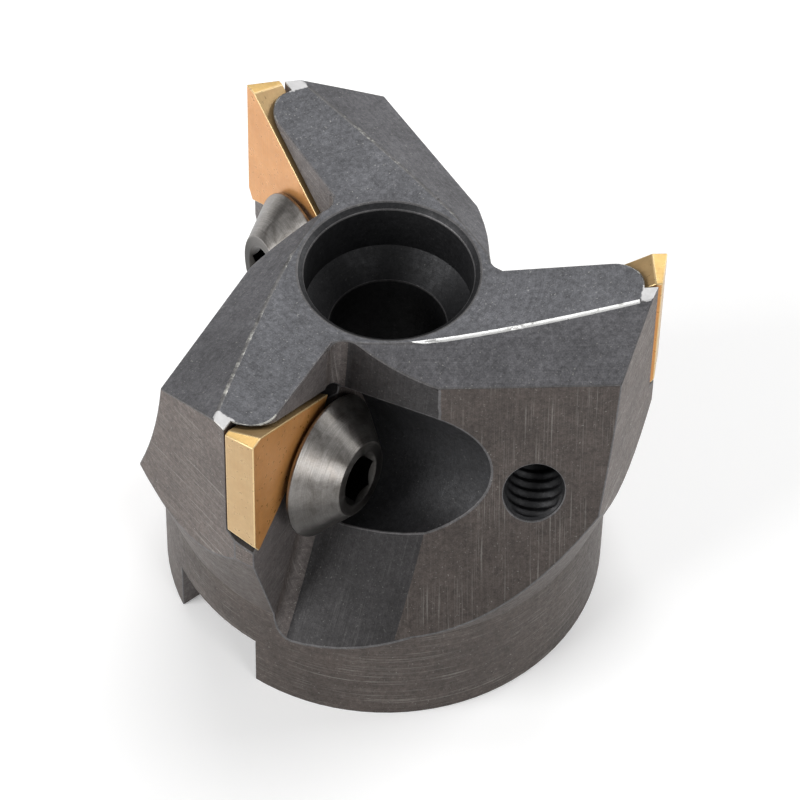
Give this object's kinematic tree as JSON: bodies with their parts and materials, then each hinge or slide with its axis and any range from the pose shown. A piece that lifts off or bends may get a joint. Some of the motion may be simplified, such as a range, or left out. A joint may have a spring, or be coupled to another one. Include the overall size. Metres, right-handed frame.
{
  "type": "face mill",
  "caption": "Indexable face mill with radial arms, a drive slot and a stepped bore, carrying triangular carbide inserts held in open V pockets by cone-headed clamp screws.",
  "frame": {"origin": "centre of the back face, on the arbor axis", "axes": "+Z along the axis to the cutting end, X along the drive slot in the back face"},
  "size_m": [0.0448, 0.0486, 0.0408],
  "materials": {
    "body": "black oxide over milled and ground steel, worn bright on the sharp edges",
    "insert": "gold titanium nitride coating on carbide, satin",
    "screw": "turned steel, dark satin"
  },
  "bodies": {
    "cutter": {"cutter_body": "body"},
    "insert_1": {"insert_1": "insert"},
    "clamp_screw_1": {"clamp_screw_1": "screw"},
    "insert_2": {"insert_2": "insert"},
    "clamp_screw_2": {"clamp_screw_2": "screw"},
    "insert_3": {"insert_3": "insert"},
    "clamp_screw_3": {"clamp_screw_3": "screw"}
  },
  "joints": [
    {"name": "clamp_screw_1_slide", "type": "slide", "parent": "cutter", "child": "clamp_screw_1", "axis": [0.6607, 0.739, 0.1317], "range_m": [0, 0.008]},
    {"name": "clamp_screw_2_slide", "type": "slide", "parent": "cutter", "child": "clamp_screw_2", "axis": [-0.9703, 0.2027, 0.1317], "range_m": [0, 0.008]},
    {"name": "clamp_screw_3_slide", "type": "slide", "parent": "cutter", "child": "clamp_screw_3", "axis": [0.3096, -0.9417, 0.1317], "range_m": [0, 0.008]},
    {"name": "insert_1_slide", "type": "slide", "parent": "cutter", "child": "insert_1", "axis": [0.7944, -0.6074, 0], "range_m": [0, 0.01]},
    {"name": "insert_2_slide", "type": "slide", "parent": "cutter", "child": "insert_2", "axis": [0.1288, 0.9917, 0], "range_m": [0, 0.01]},
    {"name": "insert_3_slide", "type": "slide", "parent": "cutter", "child": "insert_3", "axis": [-0.9232, -0.3843, 0], "range_m": [0, 0.01]}
  ]
}
